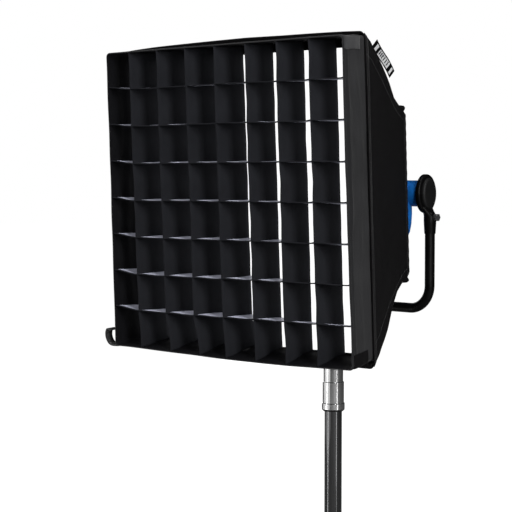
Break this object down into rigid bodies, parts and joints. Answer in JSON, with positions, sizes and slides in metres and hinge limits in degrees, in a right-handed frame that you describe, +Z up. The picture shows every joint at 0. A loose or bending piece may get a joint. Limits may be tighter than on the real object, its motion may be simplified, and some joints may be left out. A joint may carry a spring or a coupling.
{
  "type": "softbox on LED panel light",
  "caption": "Near-square fabric softbox with an egg-crate grid on an LED panel head, tilting in a round-tube yoke on a riser column.",
  "frame": {"origin": "on the column's axis, at the shoulder of the lower 28 mm spigot", "axes": "+Z up along the column, the light shines towards -Y and 2.8 degrees down at rest, tilt axis along X"},
  "size_m": [0.6295, 0.4763, 1.0294],
  "materials": {
    "bag_fabric": "matt woven polyester, fine rib",
    "grid_fabric": "matt woven nylon strip",
    "diffuser_cloth": "white translucent diffusion cloth",
    "webbing": "black woven webbing",
    "tag_fabric": "woven label, black with plain pale bars",
    "blue_paint": "satin blue powder coat",
    "black_paint": "fine textured black powder coat",
    "chrome": "brushed chrome plate",
    "dark_column": "polished dark steel tube",
    "steel": "machined steel",
    "aluminium": "plain extruded aluminium",
    "rubber": "matt black rubber",
    "black_plastic": "fine textured moulded plastic",
    "fibre_rod": "glass-fibre rod",
    "white_plastic": "white reflective sheet",
    "diffuser_panel": "opal sheet",
    "circuit_board": "green solder resist",
    "led": "phosphor-coated LED package",
    "window": "smoked display window",
    "friction_fibre": "fibre friction washer"
  },
  "bodies": {
    "riser": {"riser_tube": "dark_column", "riser_spigot": "steel", "receiver_socket": "chrome", "collar_sleeve": "chrome", "collar_ring": "chrome", "collar_bumper": "rubber"},
    "socket_lock": {"lock_handle": "steel"},
    "yoke": {"yoke_tube": "black_paint", "yoke_saddle": "black_paint", "yoke_spigot": "steel", "yoke_bolt": "steel", "yoke_end_right": "black_paint", "yoke_end_left": "black_paint", "yoke_end_bolts": "steel", "tilt_cap": "black_plastic", "friction_washers": "friction_fibre"},
    "tilt_clamp": {"tilt_lever": "black_plastic"},
    "head": {"front_frame": "blue_paint", "lamp_housing": "blue_paint", "side_bracket_right": "blue_paint", "side_bracket_left": "blue_paint", "tilt_pins": "steel", "rear_cover": "blue_paint", "fan_guard": "steel", "lamp_diffuser": "diffuser_panel", "light_box": "white_plastic", "led_board": "circuit_board", "led_emitters": "led", "heat_sink": "aluminium", "fan_frame": "black_plastic", "power_supply": "aluminium", "control_board": "circuit_board", "control_panel": "black_plastic", "display_window": "window", "power_inlet": "black_plastic", "data_sockets": "steel", "cover_screws": "steel"},
    "fan": {"fan_rotor": "black_plastic"},
    "intensity_dial": {"intensity_knob": "black_plastic"},
    "colour_dial": {"colour_knob": "black_plastic"},
    "menu_key": {"menu_button": "black_plastic"},
    "mains_rocker": {"power_rocker": "black_plastic"},
    "soft_box": {"bag_top": "bag_fabric", "bag_right": "bag_fabric", "bag_bottom": "bag_fabric", "bag_left": "bag_fabric", "adapter_frame": "aluminium", "corner_joiners": "black_plastic", "corner_rods": "fibre_rod", "front_rods": "fibre_rod", "front_diffuser": "diffuser_cloth", "corner_ears": "bag_fabric", "side_tag": "tag_fabric"},
    "grid": {"grid_upright_strips": "grid_fabric", "grid_level_strips": "grid_fabric", "grid_side_skirts": "grid_fabric", "grid_end_skirts": "grid_fabric", "grid_tabs": "webbing"}
  },
  "joints": [
    {"name": "socket_lock_turn", "type": "hinge", "parent": "riser", "child": "socket_lock", "pos_m": [0, 0.03, 0.385], "axis": [0, 1, 0], "range_deg": [0, 360]},
    {"name": "pan", "type": "hinge", "parent": "riser", "child": "yoke", "pos_m": [0, 0, 0.43], "axis": [0, 0, 1], "continuous": true},
    {"name": "tilt_clamp_turn", "type": "hinge", "parent": "yoke", "child": "tilt_clamp", "pos_m": [-0.231, 0, 0.675], "axis": [1, 0, 0], "range_deg": [-45, 40]},
    {"name": "tilt", "type": "hinge", "parent": "yoke", "child": "head", "pos_m": [0, 0, 0.675], "axis": [-1, 0, 0], "range_deg": [-15, 80]},
    {"name": "fan_spin", "type": "hinge", "parent": "head", "child": "fan", "pos_m": [0, 0.08784, 0.72135], "axis": [0, 0.9988, 0.0489], "continuous": true},
    {"name": "intensity_turn", "type": "hinge", "parent": "head", "child": "intensity_dial", "pos_m": [0.018, 0.11372, 0.64252], "axis": [0, 0.9988, 0.0489], "continuous": true},
    {"name": "colour_turn", "type": "hinge", "parent": "head", "child": "colour_dial", "pos_m": [0.052, 0.11372, 0.64252], "axis": [0, 0.9988, 0.0489], "continuous": true},
    {"name": "menu_press", "type": "slide", "parent": "head", "child": "menu_key", "axis": [0, -0.9988, -0.0489], "range_m": [0, 0.0015], "stiffness_N_per_m": 400, "springref_m": -0.0005},
    {"name": "mains_switch", "type": "hinge", "parent": "head", "child": "mains_rocker", "pos_m": [-0.032, 0.11117, 0.59233], "axis": [-1, 0, 0], "range_deg": [0, 14]},
    {"name": "bag_pull_off", "type": "slide", "parent": "head", "child": "soft_box", "axis": [0, -0.9988, -0.0489], "range_m": [0, 0.12]},
    {"name": "grid_pull_off", "type": "slide", "parent": "soft_box", "child": "grid", "axis": [0, -0.9988, -0.0489], "range_m": [0, 0.1]}
  ]
}
